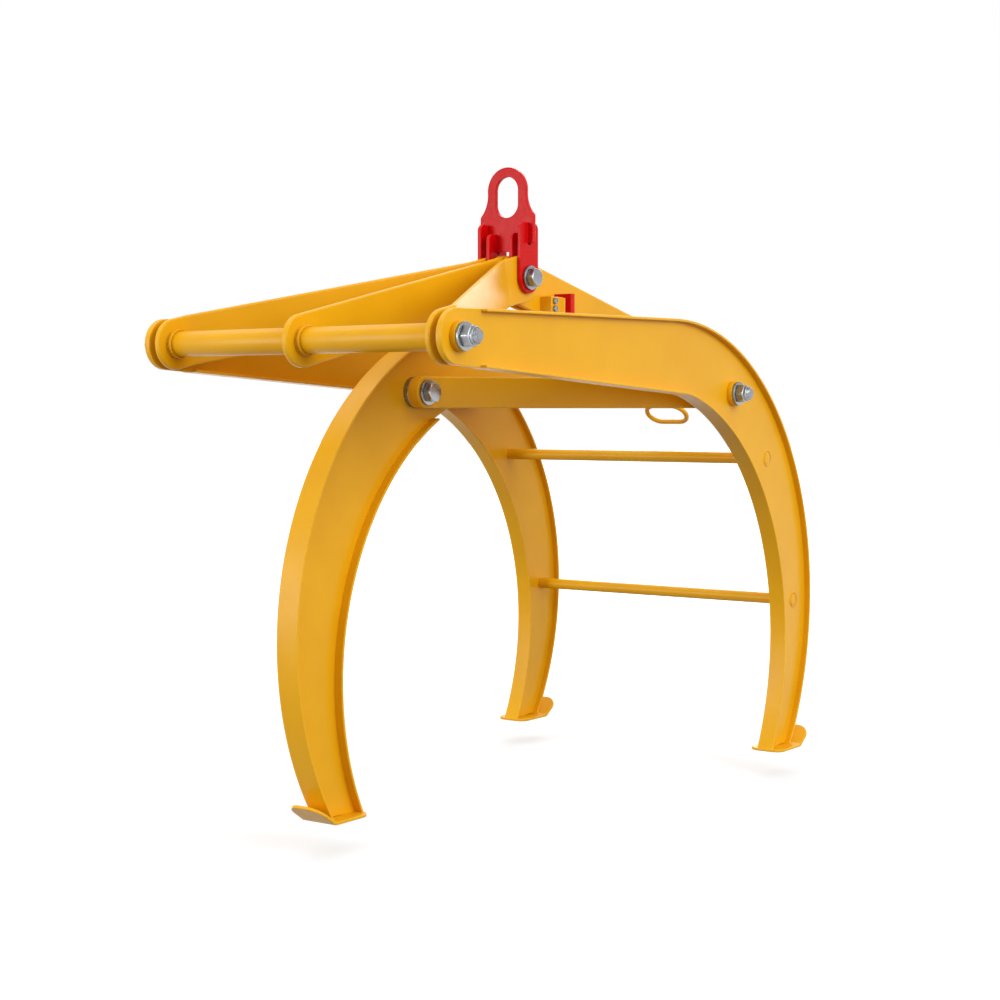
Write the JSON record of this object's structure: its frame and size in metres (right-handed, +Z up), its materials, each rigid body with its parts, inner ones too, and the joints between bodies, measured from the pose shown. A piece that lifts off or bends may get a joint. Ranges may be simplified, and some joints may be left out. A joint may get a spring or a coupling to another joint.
{
  "type": "rock lifter",
  "caption": "Scissor rock lifter with one claw facing a pair, closed by pulling up its top hanger through crossed arms, links and a tie frame.",
  "frame": {"origin": "on the ground under the middle of the machine, centre of its box", "axes": "+Z up; +X from the single claw to the pair of claws; +Y along the shaft, from the near side with the latch to the far side"},
  "size_m": [1.391, 0.7966, 1.267],
  "materials": {
    "yellow_paint": "semi-gloss paint on steel",
    "red_paint": "semi-gloss paint on steel",
    "zinc_steel": "zinc plated"
  },
  "bodies": {
    "tie_frame": {"near_tie_bar": "yellow_paint", "far_tie_bar": "yellow_paint", "single_pivot_bushes": "zinc_steel", "single_pivot_bolt": "zinc_steel", "pair_pivot_bolts": "zinc_steel", "pivot_washers": "zinc_steel", "pivot_nuts": "zinc_steel"},
    "claw_pair": {"near_claw_web": "yellow_paint", "near_back_flange": "yellow_paint", "near_jaw_flange": "yellow_paint", "near_foot": "yellow_paint", "near_pivot_boss": "yellow_paint", "near_shaft_boss": "yellow_paint", "far_claw_web": "yellow_paint", "far_back_flange": "yellow_paint", "far_jaw_flange": "yellow_paint", "far_foot": "yellow_paint", "far_pivot_boss": "yellow_paint", "far_shaft_boss": "yellow_paint", "upper_cross_rod": "yellow_paint", "lower_cross_rod": "yellow_paint"},
    "single_claw": {"single_claw_web": "yellow_paint", "single_back_flange": "yellow_paint", "single_leg_flange": "yellow_paint", "single_arm_flange": "yellow_paint", "single_foot": "yellow_paint", "guide_handle": "yellow_paint", "handle_bracket": "yellow_paint"},
    "bent_links": {"near_bent_link": "yellow_paint", "far_bent_link": "yellow_paint", "middle_link": "yellow_paint", "near_shaft_tube": "yellow_paint", "far_shaft_tube": "yellow_paint", "shaft_collars": "yellow_paint", "shaft_bushes": "zinc_steel", "shaft_bolt": "zinc_steel", "shaft_washers": "zinc_steel", "shaft_nut": "zinc_steel"},
    "plain_links": {"near_plain_link": "yellow_paint", "far_plain_link": "yellow_paint", "link_bolt": "zinc_steel", "link_washers": "zinc_steel", "link_nut": "zinc_steel", "latch_block": "yellow_paint", "latch_catch": "red_paint", "latch_bolts": "zinc_steel"},
    "top_pin_set": {"top_pin": "zinc_steel", "top_pin_washers": "zinc_steel", "top_pin_nut": "zinc_steel", "top_pin_spacers": "zinc_steel"},
    "hanger": {"eye_plate": "red_paint", "near_inner_cheek": "red_paint", "far_inner_cheek": "red_paint", "near_outer_cheek": "red_paint", "far_outer_cheek": "red_paint"}
  },
  "joints": [
    {"name": "claw_pair_swing", "type": "hinge", "parent": "tie_frame", "child": "claw_pair", "pos_m": [0.331, 0, 0.797], "axis": [0, 1, 0], "range_deg": [0, 20]},
    {"name": "single_claw_swing", "type": "hinge", "parent": "tie_frame", "child": "single_claw", "pos_m": [-0.331, 0, 0.797], "axis": [0, -1, 0], "range_deg": [0, 20]},
    {"name": "bent_links_swing", "type": "hinge", "parent": "claw_pair", "child": "bent_links", "pos_m": [-0.647, 0, 0.888], "axis": [0, -1, 0], "range_deg": [0, 40]},
    {"name": "plain_links_swing", "type": "hinge", "parent": "single_claw", "child": "plain_links", "pos_m": [0.647, 0, 0.888], "axis": [0, 1, 0], "range_deg": [0, 40]},
    {"name": "top_pin_turn", "type": "hinge", "parent": "bent_links", "child": "top_pin_set", "pos_m": [0, 0, 1.036], "axis": [0, 1, 0], "range_deg": [0, 20]},
    {"name": "hanger_swing", "type": "hinge", "parent": "top_pin_set", "child": "hanger", "pos_m": [0, 0, 1.036], "axis": [0, 1, 0], "range_deg": [-20, 20]}
  ],
  "couplings": [
    {"joint": "single_claw_swing", "follows": "claw_pair_swing", "ratio": 1},
    {"joint": "bent_links_swing", "follows": "claw_pair_swing", "ratio": 1.973},
    {"joint": "plain_links_swing", "follows": "claw_pair_swing", "ratio": 1.973},
    {"joint": "top_pin_turn", "follows": "claw_pair_swing", "ratio": 0.973}
  ]
}
